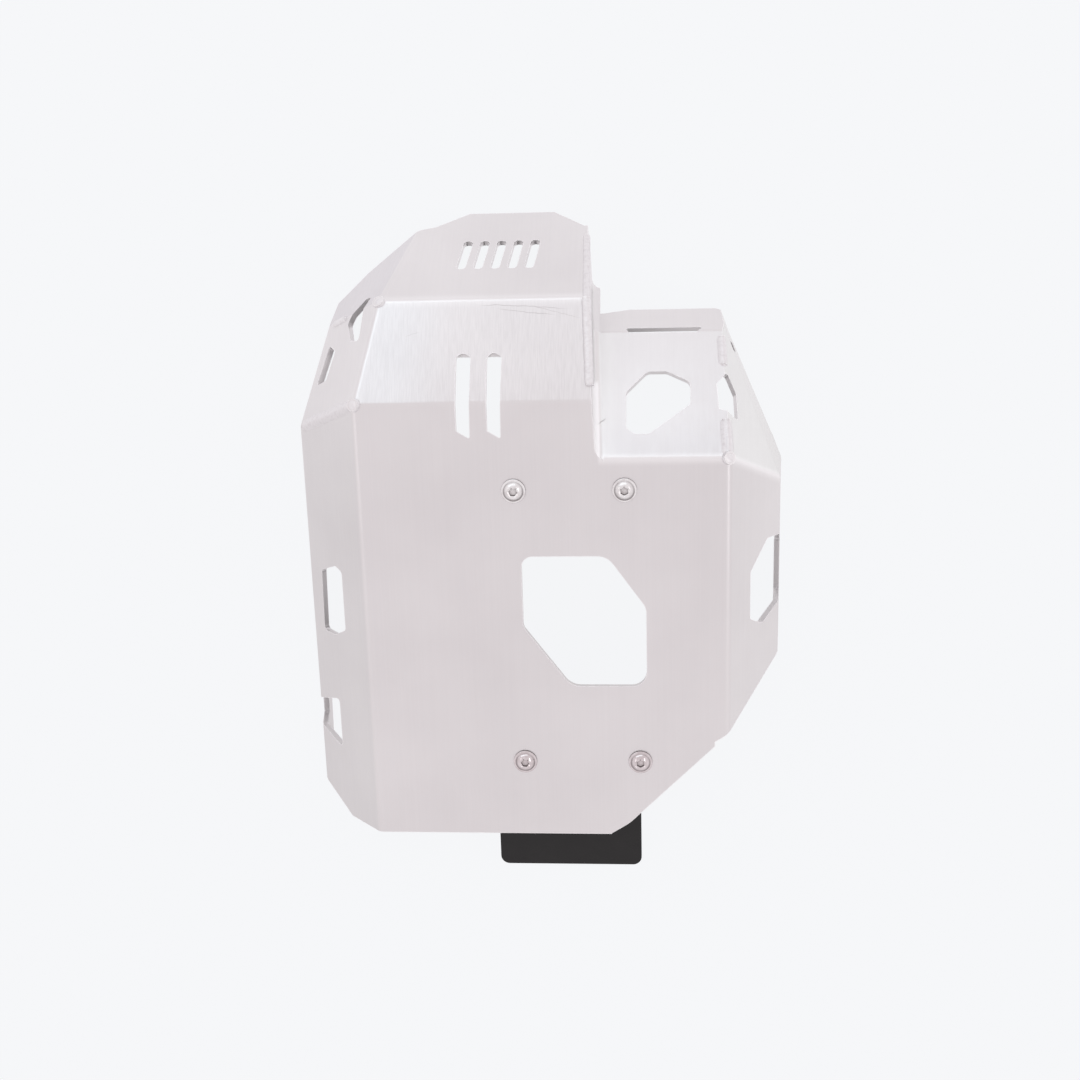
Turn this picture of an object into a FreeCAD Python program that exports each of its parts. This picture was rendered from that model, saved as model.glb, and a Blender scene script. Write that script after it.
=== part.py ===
# Motorcycle skid plate: a folded and welded aluminium tub with its screws and brackets.
# Plate axes: X across, Y to the front, Z out of the bottom panel towards the ground.
import FreeCAD, Part
import math
import os

import Sketcher
from FreeCAD import Vector

os.makedirs("parts", exist_ok=True)
doc = FreeCAD.newDocument("SkidPlate")
UP = Vector(0, 0, 1)
ACROSS = Vector(1, 0, 0)


# Driving dimensions, in millimetres and degrees
SIZES = {
    "sheet_thickness": 4.0,
    "bend_radius": 3.0,
    "step_bend_radius": 6.0,
    "weld_radius": 3.2,
    "left_fold_x": -129.0,
    "bottom_width": 263.0,
    "front_fold_y": 99.5,
    "bottom_length": 331.0,
    "side_setback": 41.0,
    "front_lower_run": 77.5,
    "front_lower_angle": 30.0,
    "front_upper_run": 99.5,
    "front_upper_angle": 58.0,
    "side_lower_run": 105.5,
    "side_lower_angle": 42.0,
    "side_upper_run": 26.5,
    "side_upper_angle": 62.0,
    "left_chine_width": 71.5,
    "left_chine_angle": 45.0,
    "right_chine_width": 60.0,
    "right_chine_angle": 50.0,
    "wall_angle": 85.0,
    "step_x": 38.6,
    "step_turn": 2.6,
    "rim_slope": 6.45,
    "left_wall_end": 310.5,
    "right_wall_end": 202.5,
    "screw_hole": 9.0,
    "front_screws_x": 21.3,
    "front_screws_setback": 63.3,
    "front_screws_apart": 78.4,
    "rear_screws_x": 27.0,
    "rear_screws_setback": 59.5,
    "rear_screws_apart": 85.6,
    "screw_shank": 8.0,
    "screw_length": 22.0,
    "screw_flange": 17.6,
    "screw_flange_height": 1.6,
    "screw_head": 13.6,
    "screw_head_shoulder": 11.9,
    "screw_head_crown": 8.2,
    "screw_shoulder_height": 1.9,
    "screw_crown_height": 1.7,
    "screw_socket": 5.0,
    "screw_socket_depth": 3.0,
    "nut_flats": 13.0,
    "nut_height": 6.5,
    "nut_flange": 17.0,
    "nut_flange_height": 1.5,
    "bracket_thickness": 4.0,
    "bracket_bend": 4.0,
    "front_bracket_width": 112.0,
    "front_bracket_lap": 14.0,
    "front_bracket_flange": 32.0,
    "front_bracket_web": 44.0,
    "front_mount_apart": 72.0,
    "front_mount_drop": 30.0,
    "rear_bracket_left": -44.0,
    "rear_bracket_width": 128.0,
    "rear_bracket_lap": 20.0,
    "rear_bracket_flange": 40.0,
    "rear_bracket_drop": 60.0,
    "rear_bracket_foot": 98.0,
    "rear_foot_notch": 15.0,
    "rear_foot_corner": 7.0,
    "rear_mount_x": 12.0,
    "rear_mount_apart": 76.0,
    "rear_mount_setback": 26.0,
    "mount_hole": 9.0,
}

sheet = doc.addObject("Spreadsheet::Sheet", "Dimensions")
for row, (name, value) in enumerate(SIZES.items(), start=1):
    sheet.set("A%d" % row, name)
    sheet.set("B%d" % row, str(value))
    sheet.setAlias("B%d" % row, name)
doc.recompute()


def size(name):
    """A driving dimension as a plain number."""
    return float(getattr(sheet, name))


def bind(item, **rules):
    """Ties properties of a document object to the dimensions."""
    for prop, rule in rules.items():
        item.setExpression(prop.replace("__", "."), rule)
    return item


def sloped(direction, degrees):
    """Unit vector that leaves the bottom panel in a plan direction and drops by an angle."""
    angle = math.radians(degrees)
    return direction * math.cos(angle) - UP * math.sin(angle)


def facing(direction, degrees):
    """Outward normal of a panel that is folded down by an angle about its inner edge."""
    angle = math.radians(degrees)
    return direction * math.sin(angle) + UP * math.cos(angle)


def through(first, second, third):
    """Outward plane through three points of a panel."""
    normal = (second - first).cross(third - first).normalize()
    if normal.z < 0:
        normal = normal * -1
    return first, normal


# Corner points of the outer surface, named as they meet on the folded plate
FRONT = Vector(0, 1, 0)
LEFT = Vector(-1, 0, 0)
thickness = size("sheet_thickness")
front_y = size("front_fold_y")
rear_y = front_y - size("bottom_length")
side_y = front_y - size("side_setback")
left_x = size("left_fold_x")
right_x = left_x + size("bottom_width")

front_lower_way = sloped(FRONT, size("front_lower_angle"))
front_upper_way = sloped(FRONT, size("front_upper_angle"))
side_lower_way = sloped(FRONT, size("side_lower_angle"))
side_upper_way = sloped(FRONT, size("side_upper_angle"))
left_chine_way = sloped(LEFT, size("left_chine_angle"))
right_chine_way = sloped(ACROSS, size("right_chine_angle"))

left_front = Vector(left_x, front_y, 0)
right_front = Vector(right_x, side_y, 0)
upper_fold = Vector(0, front_y, 0) + front_lower_way * size("front_lower_run")
side_fold = Vector(0, side_y, 0) + side_lower_way * size("side_lower_run")
left_upper = Vector(left_x + 15.4, upper_fold.y, upper_fold.z)
left_outer = left_front - FRONT * 26.0 + left_chine_way * size("left_chine_width")
left_top = upper_fold + ACROSS * (left_x + 35.9) + front_upper_way * 80.0
right_outer = right_front - FRONT * 25.6 + right_chine_way * size("right_chine_width")
right_top = side_fold + ACROSS * (right_x - 3.0)
step_corner = Vector(size("step_x"), front_y, 0)

PLANES = {
    "bottom": (Vector(0, 0, 0), UP),
    "front_lower": (left_front, facing(FRONT, size("front_lower_angle"))),
    "front_upper": (upper_fold, facing(FRONT, size("front_upper_angle"))),
    "left_chine": (left_front, facing(LEFT, size("left_chine_angle"))),
    "left_wall": (left_outer, facing(LEFT, size("wall_angle"))),
    "left_facet": through(left_front, left_upper, left_outer),
    "side_lower": (right_front, facing(FRONT, size("side_lower_angle"))),
    "side_upper": (side_fold, facing(FRONT, size("side_upper_angle"))),
    "right_chine": (right_front, facing(ACROSS, size("right_chine_angle"))),
    "right_wall": (right_outer, facing(ACROSS, size("wall_angle"))),
    "right_facet": through(right_front, right_outer, right_top),
}


def drop_onto(plane, x, y):
    """The point of a panel's outer surface that lies under a place in plan."""
    point, normal = PLANES[plane]
    z = point.z - (normal.x * (x - point.x) + normal.y * (y - point.y)) / normal.z
    return Vector(x, y, z)


def wall_between(start, end, outward):
    """Steep wall plane under an edge of the chine."""
    along = Vector(end.x - start.x, end.y - start.y, 0).normalize()
    side = along.cross(UP)
    if side.dot(outward) < 0:
        side = side * -1
    return start, facing(side, size("wall_angle"))


left_knee = drop_onto("left_facet", left_x - 27.6, front_y + 44.3)
step_angle = math.radians(size("step_turn"))
PLANES["left_upper"] = through(left_upper, left_top, left_knee)
PLANES["left_front_wall"] = wall_between(left_outer, left_knee, LEFT)
PLANES["right_front_wall"] = wall_between(right_outer, right_top, ACROSS)
PLANES["step"] = (step_corner, Vector(math.cos(step_angle), math.sin(step_angle), 0))

CENTRE = ("bottom", "front_lower", "front_upper", "left_chine", "left_wall", "left_facet",
          "left_upper", "left_front_wall", "step")
RIGHT = ("bottom", "side_lower", "side_upper", "right_chine", "right_wall", "right_facet",
         "right_front_wall")
CENTRE_FOLDS = (
    ("bottom", "front_lower"),
    ("front_lower", "front_upper"),
    ("bottom", "left_chine"),
    ("front_lower", "left_facet"),
    ("front_upper", "left_upper"),
    ("left_chine", "left_wall"),
    ("left_facet", "left_front_wall"),
    ("left_wall", "left_front_wall"),
)
RIGHT_FOLDS = (
    ("bottom", "side_lower"),
    ("side_lower", "side_upper"),
    ("bottom", "right_chine"),
    ("right_chine", "right_facet"),
    ("right_chine", "right_wall"),
    ("right_facet", "right_front_wall"),
    ("right_wall", "right_front_wall"),
)


def beyond(point, normal, reach=1500.0):
    """A large block on the outer side of a plane."""
    block = Part.makeBox(reach, reach, reach, Vector(-reach / 2, -reach / 2, 0))
    block.Placement = FreeCAD.Placement(point, FreeCAD.Rotation(UP, normal))
    return block


def fold_frame(first, second, inset):
    """Meeting line of two moved-in panels: a point, its direction, and the ways into each panel."""
    point_a, normal_a = PLANES[first]
    point_b, normal_b = PLANES[second]
    along = normal_a.cross(normal_b).normalize()
    level_a = point_a.dot(normal_a) - inset
    level_b = point_b.dot(normal_b) - inset
    shared = normal_a.dot(normal_b)
    scale = 1 - shared * shared
    weight_a = (level_a - level_b * shared) / scale
    weight_b = (level_b - level_a * shared) / scale
    corner = normal_a * weight_a + normal_b * weight_b
    way_a = along.cross(normal_a)
    way_b = along.cross(normal_b)
    if way_a.dot(normal_b) > 0:
        way_a = way_a * -1
    if way_b.dot(normal_a) > 0:
        way_b = way_b * -1
    return corner, along, way_a, way_b


def bend_profile(first, second, inset, radius, outside):
    """Long prism between a fold's sharp corner and the arc that rounds it.

    The arc touches both panels. The rest of the outline lies clear on the air side of a
    convex fold (outside = 1), or in the metal of a concave one (outside = -1).
    """
    corner, along, way_a, way_b = fold_frame(first, second, inset)
    normal_a = PLANES[first][1]
    normal_b = PLANES[second][1]
    if outside < 0:
        way_a = way_a * -1
        way_b = way_b * -1
    setback = radius * math.tan(normal_a.getAngle(normal_b) / 2)
    touch_a = corner + way_a * setback
    touch_b = corner + way_b * setback
    middle_way = (normal_a + normal_b).normalize()
    centre = touch_a - normal_a * (radius * outside)
    middle = centre + middle_way * (radius * outside)
    clear = 3.0 * outside
    outer_a = touch_a + normal_a * clear
    outer_b = touch_b + normal_b * clear
    peak = corner + middle_way * (clear * 2)
    sides = [
        Part.Arc(touch_a, middle, touch_b).toShape(),
        Part.makeLine(touch_b, outer_b),
        Part.makeLine(outer_b, peak),
        Part.makeLine(peak, outer_a),
        Part.makeLine(outer_a, touch_a),
    ]
    face = Part.Face(Part.Wire(sides))
    face.translate(along * -450)
    return face.extrude(along * 900)


def hull(panels, folds, inset, start_x, start_y):
    """Convex solid under a set of panels, each moved in by an inset, with its folds rounded."""
    body = Part.makeBox(900, 900, 400, Vector(start_x, start_y, -350))
    for panel in panels:
        point, normal = PLANES[panel]
        body = body.cut(beyond(point - normal * inset, normal))
    radius = size("bend_radius") + thickness - inset
    for first, second in folds:
        body = body.cut(bend_profile(first, second, inset, radius, 1))
    return body


def step_bends(inset):
    """Hollow bend that takes the step wall round into the lower right-hand panels."""
    radius = size("step_bend_radius") + inset
    halves = []
    crease = between("side_lower", "side_upper")
    split = crease.cross(ACROSS).normalize()
    for panel, way in (("side_lower", 1), ("side_upper", -1)):
        bend = bend_profile("step", panel, inset, radius, -1)
        bend = bend.cut(beyond(PLANES["bottom"][0] - UP * inset, UP))
        halves.append(bend.cut(beyond(side_fold, split * way)))
    return halves


def flange_trim():
    """Cutter above the free edge of the right-hand front flange."""
    top = size("side_upper_run")
    edge = [(20, top - 5.5), (45, top - 4), (64, top), (127, top), (131.5, top - 2.5),
            (136, top - 13.5), (170, top - 36.5), (170, 200), (20, 200)]
    return punch(side_fold, ACROSS, PLANES["side_upper"][1], edge, depth=400.0)


def tub(inset, start_y):
    """The centre and the lower right-hand part of the tub as one solid."""
    centre = hull(CENTRE, CENTRE_FOLDS, inset, left_x - 300.0, start_y)
    right = hull(RIGHT, RIGHT_FOLDS, inset, step_corner.x - 60.0, start_y)
    if inset == 0.0:
        right = right.cut(flange_trim())
    return centre.fuse([right] + step_bends(inset)).removeSplitter()


def between(first, second):
    """Unit vector that halves the angle between two panels' normals."""
    return (PLANES[first][1] + PLANES[second][1]).normalize()


def rounded(points, radii):
    """Closed flat wire through corner points, each corner rounded to its own radius."""
    sides = []
    count = len(points)
    ends = []
    for index, (corner, radius) in enumerate(zip(points, radii)):
        if radius == 0.0:
            ends.append((corner, None, corner))
            continue
        before = (points[index - 1] - corner).normalize()
        after = (points[(index + 1) % count] - corner).normalize()
        half = before.getAngle(after) / 2
        centre = corner + (before + after).normalize() * (radius / math.sin(half))
        setback = radius / math.tan(half)
        start = corner + before * setback
        end = corner + after * setback
        facing_way = 1 if before.cross(after).z < 0 else -1
        ring = Part.Circle(centre, UP * facing_way, radius)
        arc = ring.trim(ring.parameter(start), ring.parameter(end))
        ends.append((start, arc, end))
    for index, (start, arc, end) in enumerate(ends):
        if arc is not None:
            sides.append(arc.toShape())
        following = ends[(index + 1) % count][0]
        if end.distanceToPoint(following) > 1e-6:
            sides.append(Part.makeLine(end, following))
    return Part.Wire(sides)


def punch(origin, across, normal, outline, radius=0.0, depth=26.0):
    """Cutter square to a surface, from an outline given along it and towards its far edge.

    The radius is one for all corners or a list with one for each; 0 leaves them sharp.
    """
    upward = normal.cross(across).normalize()
    corners = [Vector(a, b, depth / 2) for a, b in outline]
    if radius == 0.0:
        wire = Part.makePolygon(corners + corners[:1])
    else:
        radii = radius if isinstance(radius, list) else [radius] * len(corners)
        wire = rounded(corners, radii)
    cutter = Part.Face(wire).extrude(UP * -depth)
    turn = FreeCAD.Rotation(across, upward, normal, "ZXY")
    cutter.Placement = FreeCAD.Placement(origin, turn)
    return cutter


def seam(start, end, first, second):
    """Frame of a welded or folded edge: its start, its direction and the way out."""
    return start, (end - start).normalize(), between(first, second)


def bead(start, end, radius):
    """Round weld bead along a seam."""
    return Part.makeCylinder(radius, (end - start).Length, start, end - start)


def puddle(corner, out, radius):
    """Weld that fills the corner where folds and seams meet: a low button through the sheet."""
    return Part.makeCylinder(radius, thickness + 2.0, corner - out * (thickness + 1.8), out)


def folded_sheet():
    """Sheet between an outer and an inner tub, open at the rear and along its rim."""
    walls = tub(0.0, rear_y).cut(tub(thickness, rear_y - 40.0))
    front_normal = PLANES["front_upper"][1]
    slope = math.radians(size("rim_slope"))
    rim_point = upper_fold + front_upper_way * size("front_upper_run") - front_normal * thickness
    rim_normal = Vector(0, -math.sin(slope), -math.cos(slope))
    return walls.cut(beyond(rim_point, rim_normal))


def trims():
    """Cutters for the free edges: the shaped front edge and the cut-back rear corners."""
    top = size("front_upper_run")
    front = [(-55.5, top), (-80, top - 15.5), (-93, top - 19), (-230, top - 36), (-230, top + 90),
             (120, top + 90), (120, top - 20), (31, top - 17.5), (8, top)]
    chamfer_start = front_y - size("bottom_length") + 81.5
    corner = [(right_x, chamfer_start), (right_x - 73, rear_y + 9), (right_x - 88, rear_y - 0.5),
              (right_x - 88, rear_y - 60), (right_x + 90, rear_y - 60), (right_x + 90, chamfer_start)]
    slant = (chamfer_start - rear_y - 9) / 73
    left_end = front_y - size("left_wall_end")
    right_end = front_y - size("right_wall_end")
    left_edge = size("left_chine_width")
    right_edge = size("right_chine_width")
    left_cut = [(left_end, left_edge + 12), (left_end, left_edge), (rear_y - 1, left_edge / 2),
                (rear_y - 60, left_edge / 2), (rear_y - 60, left_edge + 12)]
    right_cut = [(chamfer_start - 6 * slant, 6), (chamfer_start, 0), (right_end, -right_edge),
                 (right_end, -right_edge - 12), (rear_y - 60, -right_edge - 12), (rear_y - 60, 6)]
    level_left = Vector(left_x, 0, 0)
    level_right = Vector(right_x, 0, 0)
    wall_left = Vector(left_outer.x, 0, left_outer.z)
    wall_right = Vector(right_outer.x, 0, right_outer.z)
    return [
        punch(upper_fold, ACROSS, PLANES["front_upper"][1], front, depth=220.0),
        punch(Vector(0, 0, 0), ACROSS, UP, corner, [0.0, 28.0, 6.0, 0.0, 0.0, 0.0], 30.0),
        punch(level_left, FRONT, PLANES["left_chine"][1], left_cut, depth=30.0),
        punch(level_right, FRONT, PLANES["right_chine"][1], right_cut, depth=30.0),
        punch(wall_left, FRONT, PLANES["left_wall"][1],
              [(left_end, -0.5), (left_end, 120), (rear_y - 60, 120), (rear_y - 60, -0.5)]),
        punch(wall_right, FRONT, PLANES["right_wall"][1],
              [(right_end, 0.5), (right_end, -120), (rear_y - 60, -120), (rear_y - 60, 0.5)]),
    ]


def openings():
    """Cutters for the cooling and weight-saving openings, outlines in millimetres."""
    bottom_hole = [(-14, -12.5), (47.5, -12.5), (75, -51.5), (75, -112), (20, -112), (-14, -66)]
    side_hole = [(61.8, 54.2), (76.9, 71.1), (90.5, 71.1), (107.4, 62.1), (107.4, 43.9),
                 (77.9, 20.0), (67.9, 20.0), (61.8, 25.0)]
    left_hole = [(-34, 56), (-27, 37), (-30, 29), (-75.5, 29), (-83, 44), (-82, 58)]
    left_fold_hole = [(-135, -25.5), (-176, -25.5), (-164, 1), (-160, 13), (-143, 13), (-142, 0)]
    right_fold_hole = [(-31, 33), (-67, 33), (-74, 19), (-62, 0), (-56, -13), (-18, -13), (-10, 0), (-10, 14)]
    flange_slot = [(63.5, -1.3), (112.5, -1.3), (117.5, 3.6), (61, 3.6)]
    facet_hole = [(60.5, 5.5), (70.5, -2.5), (57, -11.5), (35, -11.5), (39.5, 5)]
    shoulder_hole = [(20, -12), (28, -13), (40, 6), (31, 22), (18, 26), (20, 3)]
    front_wall_hole = [(9, 5), (17, 5), (19, 13), (11, 13)]
    left_front_hole = [(17, 6), (48, 6), (44, 18), (21, 18)]
    slit = [(-12, -2.5), (-2, -2.5), (12, -9.5), (12, -13), (-2, -6), (-12, -6)]
    cutters = [
        punch(Vector(0, 0, 0), ACROSS, UP, bottom_hole, [8.0, 14.0, 12.0, 11.0, 14.0, 8.0]),
        punch(Vector(0, side_y, 0), ACROSS, PLANES["side_lower"][1], side_hole, 6.0),
        punch(Vector(left_x, 0, 0), FRONT, PLANES["left_chine"][1], left_hole, 3.5),
        punch(Vector(left_outer.x, 0, left_outer.z), FRONT, between("left_chine", "left_wall"),
              left_fold_hole, 3.0),
        punch(Vector(right_outer.x, 0, right_outer.z), FRONT, between("right_chine", "right_wall"),
              right_fold_hole, 3.5),
        punch(side_fold, ACROSS, between("side_lower", "side_upper"), flange_slot, 1.0),
        punch(*seam(right_front, right_top, "side_lower", "right_facet"), facet_hole, 2.2),
        punch(*seam(left_upper, left_knee, "left_facet", "left_upper"), shoulder_hole, 3.0),
        punch(*seam(right_top, right_outer, "right_facet", "right_front_wall"), front_wall_hole, 2.0),
        punch(*seam(left_knee, left_outer, "left_facet", "left_front_wall"), left_front_hole, 2.0),
        punch(step_corner, FRONT, PLANES["step"][1], slit, 1.2, 14.0),
    ]
    for left in (-56.8, -35.0):
        twin = [(left, -19), (left + 9.4, -24.5), (left + 10.4, 33), (left + 4.5, 36.5), (left, 32.5)]
        cutters.append(punch(Vector(0, front_y, 0), ACROSS, between("bottom", "front_lower"), twin,
                             [1.0, 1.0, 2.5, 4.5, 2.5]))
    for index in range(5):
        left = -61.0 + 12.4 * index
        vent = [(left, 34), (left + 6.8, 34), (left + 10.8, 66), (left + 4, 66)]
        cutters.append(punch(upper_fold, ACROSS, PLANES["front_upper"][1], vent, 2.9))
    return cutters


SCREW_LEVELS = {
    "front": "(Dimensions.front_fold_y - Dimensions.front_screws_setback)",
    "rear": "(Dimensions.front_fold_y - Dimensions.bottom_length + Dimensions.rear_screws_setback)",
}
front_screws_y = front_y - size("front_screws_setback")
rear_screws_y = rear_y + size("rear_screws_setback")


def screw_places(pair):
    """Plan positions of a pair of screws, as spreadsheet rules for X and Y."""
    middle = "Dimensions.%s_screws_x" % pair
    half = "Dimensions.%s_screws_apart / 2" % pair
    level = SCREW_LEVELS[pair]
    return [("%s - %s" % (middle, half), level), ("%s + %s" % (middle, half), level)]


def screw_holes():
    """Cutters for the four screw holes."""
    holes = []
    for pair, level in (("front", front_screws_y), ("rear", rear_screws_y)):
        half = size(pair + "_screws_apart") / 2
        for side in (-half, half):
            spot = Vector(size(pair + "_screws_x") + side, level, -20)
            holes.append(Part.makeCylinder(size("screw_hole") / 2, 40, spot))
    return holes


def welds():
    """Beads on the seams and the filled corners where three panels meet."""
    radius = size("weld_radius")
    beads = []

    def along(start, end, first, second, from_, to, width, sink):
        """Bead on part of a seam, from_ and to in millimetres from its start."""
        way = (end - start).normalize()
        inward = between(first, second) * -sink
        beads.append(bead(start + way * from_ + inward, start + way * to + inward, width))

    low_end = step_corner
    mid_end = step_end("front_lower", upper_fold)
    top_end = step_end("front_upper", upper_fold + front_upper_way * 70.0)
    along(low_end, mid_end, "front_lower", "step", 12.0, (mid_end - low_end).Length, radius, 1.6)
    along(mid_end, top_end, "front_upper", "step", 0.0, (top_end - mid_end).Length, radius * 0.8, 1.4)
    along(right_front, right_top, "side_lower", "right_facet", 2.0, 31.0, radius * 1.2, 2.4)
    along(right_front, right_top, "side_lower", "right_facet", 76.0, 100.0, radius * 0.75, 1.0)
    along(left_front, left_outer, "left_chine", "left_facet", 2.0,
          (left_outer - left_front).Length - 3.0, radius * 0.8, 1.4)
    along(left_upper, left_knee, "left_facet", "left_upper", 46.0,
          (left_knee - left_upper).Length - 2.0, radius * 0.8, 1.2)
    for corner, first, second in ((left_front, "bottom", "left_facet"),
                                  (left_upper, "front_lower", "left_upper"),
                                  (right_front, "bottom", "right_facet")):
        beads.append(puddle(corner, between(first, second), radius * 1.4))
    return beads


def step_end(panel, level):
    """Where the step wall meets a front panel's surface at a given place along the slope."""
    base, normal = PLANES["step"]
    x = base.x - (level.y - base.y) * normal.y / normal.x
    return Vector(x, level.y, level.z)


def skid_plate():
    """The plate: folded sheet, trimmed and cut, with its welds."""
    walls = folded_sheet()
    for cutter in trims():
        walls = walls.cut(cutter)
    walls = walls.fuse(welds())
    walls = walls.cut(openings() + screw_holes())
    item = doc.addObject("Part::Feature", "skid_plate")
    item.Shape = walls.removeSplitter()
    return item


def stand(item, x_rule, y_rule, z_rule):
    """Puts a primitive at a place given by spreadsheet rules."""
    return bind(item, Placement__Base__x=x_rule, Placement__Base__y=y_rule, Placement__Base__z=z_rule)


def cylinder(radius_rule, height_rule, x_rule, y_rule, z_rule):
    """Upright cylinder bound to the dimensions."""
    item = bind(doc.addObject("Part::Cylinder", "Round"), Radius=radius_rule, Height=height_rule)
    return stand(item, x_rule, y_rule, z_rule)


def hexagon(flats_rule, height_rule, x_rule, y_rule, z_rule):
    """Upright hexagonal prism across its flats."""
    item = doc.addObject("Part::Prism", "Hexagon")
    item.Polygon = 6
    bind(item, Circumradius="%s / 2 / cos(30deg)" % flats_rule, Height=height_rule)
    return stand(item, x_rule, y_rule, z_rule)


def joined(shapes):
    """Union of several objects."""
    item = doc.addObject("Part::MultiFuse", "Joined")
    item.Shapes = shapes
    return item


def less(base, tool):
    """One object with another cut out of it."""
    item = doc.addObject("Part::Cut", "Less")
    item.Base = base
    item.Tool = tool
    return item


def frustum(foot_rule, top_rule, height_rule, x_rule, y_rule, z_rule):
    """Upright cone between two diameters."""
    item = bind(doc.addObject("Part::Cone", "Taper"), Radius1="%s / 2" % foot_rule,
                Radius2="%s / 2" % top_rule, Height=height_rule)
    return stand(item, x_rule, y_rule, z_rule)


def screw(x_rule, y_rule):
    """Flanged button head screw with a hexagon socket, head on the plate's outer face."""
    seat = "Dimensions.screw_flange_height"
    shoulder_top = "(%s + Dimensions.screw_shoulder_height)" % seat
    head_top = "(%s + Dimensions.screw_crown_height)" % shoulder_top
    flange = cylinder("Dimensions.screw_flange / 2", seat, x_rule, y_rule, "0")
    shank = cylinder("Dimensions.screw_shank / 2", "Dimensions.screw_length", x_rule, y_rule,
                     "-Dimensions.screw_length")
    shoulder = frustum("Dimensions.screw_head", "Dimensions.screw_head_shoulder",
                       "Dimensions.screw_shoulder_height", x_rule, y_rule, seat)
    crown = frustum("Dimensions.screw_head_shoulder", "Dimensions.screw_head_crown",
                    "Dimensions.screw_crown_height", x_rule, y_rule, shoulder_top)
    socket = hexagon("Dimensions.screw_socket", "Dimensions.screw_socket_depth + 2", x_rule, y_rule,
                     "%s - Dimensions.screw_socket_depth" % head_top)
    return less(joined([flange, shank, shoulder, crown]), socket)


def nut(x_rule, y_rule):
    """Flanged nut that clamps the bracket from inside."""
    seat = "-Dimensions.sheet_thickness - Dimensions.bracket_thickness"
    base = cylinder("Dimensions.nut_flange / 2", "Dimensions.nut_flange_height", x_rule, y_rule,
                    "%s - Dimensions.nut_flange_height" % seat)
    body = hexagon("Dimensions.nut_flats", "Dimensions.nut_height", x_rule, y_rule,
                   "%s - Dimensions.nut_height" % seat)
    bore = cylinder("Dimensions.screw_shank / 2 + 0.1", "40", x_rule, y_rule, "-30")
    return less(joined([base, body]), bore)


def group(label, members):
    """Separate like pieces that share one node."""
    item = doc.addObject("Part::Compound", label)
    item.Links = members
    return item


def origin_plane(body, role):
    """One of a body's own origin planes."""
    return next(f for f in body.Origin.OriginFeatures if f.Role == role)


def blank_sketch(body, role, name):
    """Empty sketch on one of a body's origin planes."""
    sketch = body.newObject("Sketcher::SketchObject", name)
    sketch.AttachmentSupport = [(origin_plane(body, role), "")]
    sketch.MapMode = "FlatFace"
    return sketch


def strip_profile(body, start, steps):
    """Closed right-angled outline. Each step is a direction and the rule for its length."""
    sketch = blank_sketch(body, "YZ_Plane", "Profile")
    moves = {"front": (1, 0), "rear": (-1, 0), "up": (0, 1), "down": (0, -1)}
    length_rules = {}
    place = Vector(0, 0, 0)
    for number, (way, rule) in enumerate(steps):
        dx, dy = moves[way]
        following = place + Vector(dx, dy, 0) * (10.0 + number)
        if number == len(steps) - 1:
            following = Vector(0, 0, 0)
        sketch.addGeometry(Part.LineSegment(place, following))
        place = following
    count = len(steps)
    for number, (way, rule) in enumerate(steps):
        sketch.addConstraint(Sketcher.Constraint("Coincident", number, 2, (number + 1) % count, 1))
        level = "Horizontal" if moves[way][1] == 0 else "Vertical"
        sketch.addConstraint(Sketcher.Constraint(level, number))
    for number, (way, rule) in enumerate(steps[:-2]):
        kind = "DistanceX" if moves[way][1] == 0 else "DistanceY"
        first, second = (1, 2) if way in ("front", "up") else (2, 1)
        index = sketch.addConstraint(Sketcher.Constraint(kind, number, first, number, second, 10.0 + number))
        length_rules[index] = rule
    for axis, kind in enumerate(("DistanceX", "DistanceY")):
        index = sketch.addConstraint(Sketcher.Constraint(kind, -1, 1, 0, 1, 1.0 + axis))
        length_rules[index] = start[axis]
    for index, rule in length_rules.items():
        sketch.setExpression("Constraints[%d]" % index, rule)
    return sketch


def pad_strip(body, sketch, left_rule, width_rule):
    """Extrudes a strip's profile across the plate."""
    sketch.setExpression("AttachmentOffset.Base.z", left_rule)
    pad = body.newObject("PartDesign::Pad", "Strip")
    pad.Profile = sketch
    return bind(pad, Length=width_rule)


def through_pocket(body, sketch):
    """Cuts a sketch right through the body, both ways."""
    pocket = body.newObject("PartDesign::Pocket", "Cut")
    pocket.Profile = sketch
    pocket.Type = 1
    pocket.Midplane = True
    return pocket


def bolt_holes(body, role, radius_rule, centres):
    """Round holes through the body at places given by rules."""
    sketch = blank_sketch(body, role, "Holes")
    for across_rule, up_rule in centres:
        ring = sketch.addGeometry(Part.Circle(Vector(1, 1, 0), UP, 1.0))
        index = sketch.addConstraint(Sketcher.Constraint("Radius", ring, 1.0))
        sketch.setExpression("Constraints[%d]" % index, radius_rule)
        for kind, rule in (("DistanceX", across_rule), ("DistanceY", up_rule)):
            index = sketch.addConstraint(Sketcher.Constraint(kind, -1, 1, ring, 3, 1.0))
            sketch.setExpression("Constraints[%d]" % index, rule)
    return through_pocket(body, sketch)


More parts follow.
